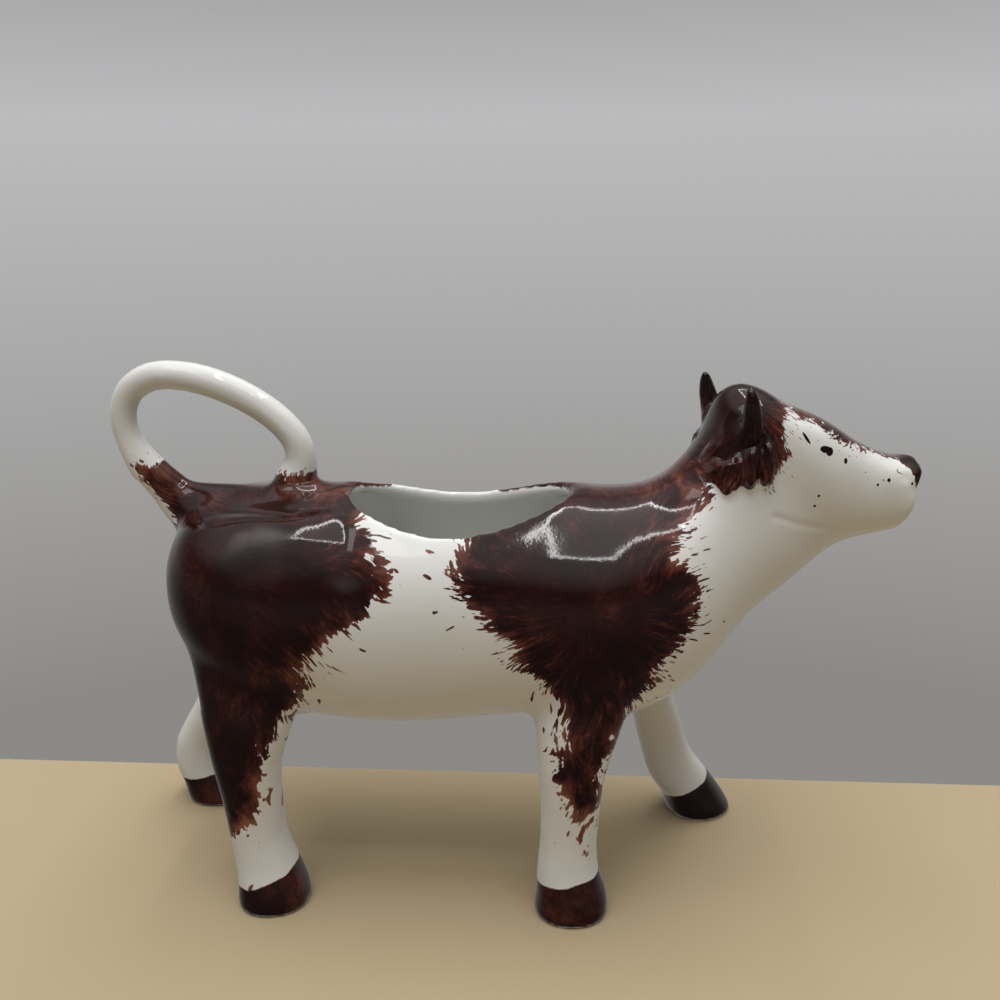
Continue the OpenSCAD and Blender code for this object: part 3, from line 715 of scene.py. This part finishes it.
# Horns and ears are brown all over: each point keeps how far it stands out from the bare head
plain = frame["nodes"]["head"].data
bare = BVHTree.FromPolygons([v.co for v in plain.vertices], [p.vertices for p in plain.polygons])
proud = np.array([bare.find_nearest(v.co)[3] for v in head.data.vertices])
x, y, z = places(head).T
proud[(z < 0.0905) | (x < 0.0405) | (x > 0.058) | (np.abs(y - 0.0035) < 0.0045)] = 0
mark(head, "proud", proud)
paint, tree, where = new_paint("head_glaze")
at = node(tree, "SeparateXYZ", {0: where}).outputs
within = placed(tree, patches, {"Vector": where})
fore = brushed(tree, where, within, "Shoulder")
top = placed(tree, strokes, {"Vector": where, "Within": within["Head"], "Hub": (0.050, 0, 0.110), "Reach": 0.0018,
                             "Width": 0.0006, "Length": 0.0017})
cover = sums(tree, "MULTIPLY", fore["Cover"], sums(tree, "LESS_THAN", at["X"], 0.0445))
cover = sums(tree, "MAXIMUM", cover, top["Cover"])
ear = rises(tree, node(tree, "Attribute", attribute_name="proud").outputs["Fac"], 0.00040, 0.00055)
cover = sums(tree, "MAXIMUM", cover, ear)

# Dabs of a small brush are ovals: (place, half sizes, turn in degrees)
DABS = [
    # the eyes
    ((0.0674, -0.0045, 0.1016), (0.0013, 0.005, 0.0007), 14), ((0.0683, -0.0040, 0.1011), (0.0008, 0.005, 0.0009), 0),
    ((0.0644, 0.0172, 0.1016), (0.0013, 0.005, 0.0007), 14), ((0.0653, 0.0175, 0.1011), (0.0008, 0.005, 0.0009), 0),
    # stray dots on the cheek, the nose and the brow
    ((0.0720, -0.0036, 0.0989), (0.0004, 0.003, 0.0006), 0), ((0.0665, -0.0055, 0.0918), (0.0003, 0.003, 0.0003), 0),
    ((0.0659, -0.0052, 0.0895), (0.0003, 0.003, 0.0003), 0), ((0.0823, -0.0002, 0.0939), (0.0004, 0.003, 0.0004), 0),
    ((0.0798, -0.0010, 0.0931), (0.0003, 0.003, 0.0003), 0), ((0.0877, 0.0009, 0.0928), (0.0003, 0.003, 0.0003), 0),
    ((0.0631, -0.0055, 0.1042), (0.0003, 0.003, 0.0015), -35)]
dots = 0.0
for place, size, turn in DABS:
    oval = node(tree, "Mapping", {"Vector": where, "Location": place, "Rotation": (0, radians(turn), 0),
                                  "Scale": size}, vector_type="TEXTURE").outputs[0]
    away = node(tree, "VectorMath", {0: oval}, operation="LENGTH").outputs["Value"]
    dots = sums(tree, "MAXIMUM", dots, rises(tree, away, 1.08, 0.92))
cover = sums(tree, "MAXIMUM", cover, dots)
streak = sums(tree, "MULTIPLY", top["Streak"], sums(tree, "SUBTRACT", 0.95, sums(tree, "MULTIPLY", dots, 0.6)))
coat = placed(tree, slip, {"Vector": where, "Cover": cover, "Streak": streak})
clear_glaze(tree, coat["Color"], coat["Height"])
fired_on(head, paint)
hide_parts("head", "horn_right", "horn_left", "ear_right", "ear_left")
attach(head, "root")

# ---- table and light ----------------------------------------------------------------------------
# A plain pale table top whose back edge is close behind the jug, a plain grey wall far behind it, and
# the soft light of a large panel overhead.
bpy.ops.object.select_all(action="DESELECT")
bpy.ops.mesh.primitive_plane_add(size=1, location=(0, 0, 0))
floor = bpy.context.object
floor.name = "floor"
only(floor)
bpy.ops.object.mode_set(mode="EDIT")
bpy.ops.mesh.select_all(action="SELECT")
bpy.ops.transform.resize(value=(2, 0.534, 1))
bpy.ops.transform.translate(value=(0, -0.233, 0))
bpy.ops.object.mode_set(mode="OBJECT")
paper = bpy.data.materials.new("paper")
paper.use_nodes = True
paper.node_tree.nodes["Principled BSDF"].inputs["Base Color"].default_value = (0.42, 0.33, 0.20, 1)
paper.node_tree.nodes["Principled BSDF"].inputs["Roughness"].default_value = 0.9
floor.data.materials.append(paper)
floor.visible_glossy = False
world = bpy.data.worlds.new("studio")
scene.world = world
world.use_nodes = True
tree = world.node_tree
toward = node(tree, "SeparateXYZ", {0: node(tree, "TexCoord").outputs["Generated"]}).outputs
wall = ramp(tree, sums(tree, "ADD", sums(tree, "MULTIPLY", toward["Z"], 1.2), 0.55),
            (0.05, (0.260, 0.252, 0.240)), (0.65, (0.500, 0.500, 0.510)), (0.98, (0.200, 0.200, 0.205)))
bright = sums(tree, "MAXIMUM", rises(tree, toward["Y"], -0.1, 0.5, 0.3, 1.0),
              rises(tree, toward["Z"], 0.45, 0.80, 0.0, 3.6))
join(tree, (wall, tree.nodes["Background"].inputs[0]), (bright, tree.nodes["Background"].inputs[1]))


def lamp(name, place, aim, size, power):
    light = bpy.data.lights.new(name, "AREA")
    light.shape = "RECTANGLE"
    light.size, light.size_y = size
    light.energy = power
    made = bpy.data.objects.new(name, light)
    made.location = place
    made.rotation_euler = (Vector(aim) - Vector(place)).to_track_quat("-Z", "Y").to_euler()
    scene.collection.objects.link(made)
    return made


# A dim panel with a bright frame hangs overhead and is what the glaze mirrors
panel_x, panel_y, panel_z = 0.115, 0.06, 0.75
lamp("panel", (panel_x, panel_y, panel_z), (panel_x, panel_y, 0), (0.24, 0.76), 0.39)
for side in (-1, 1):
    frame_x, frame_y = panel_x + side * 0.129, panel_y + side * 0.389
    lamp("frame_long", (frame_x, panel_y, panel_z), (frame_x, panel_y, 0), (0.018, 0.796), 0.95)
    lamp("frame_short", (panel_x, frame_y, panel_z), (panel_x, frame_y, 0), (0.24, 0.018), 0.29)
# A smaller one without a frame stands to the left
lamp("side_panel", (-0.26, -0.28, panel_z), (-0.26, -0.28, 0), (0.22, 0.40), 0.75)
# The room's own soft light comes from above and in front and leaves no outline in the glaze
ceiling = lamp("ceiling", (-0.15, -0.06, 1.1), (0, 0, 0.05), (0.9, 0.7), 5.5)
ceiling.visible_glossy = False
scene.view_settings.view_transform = "Standard"
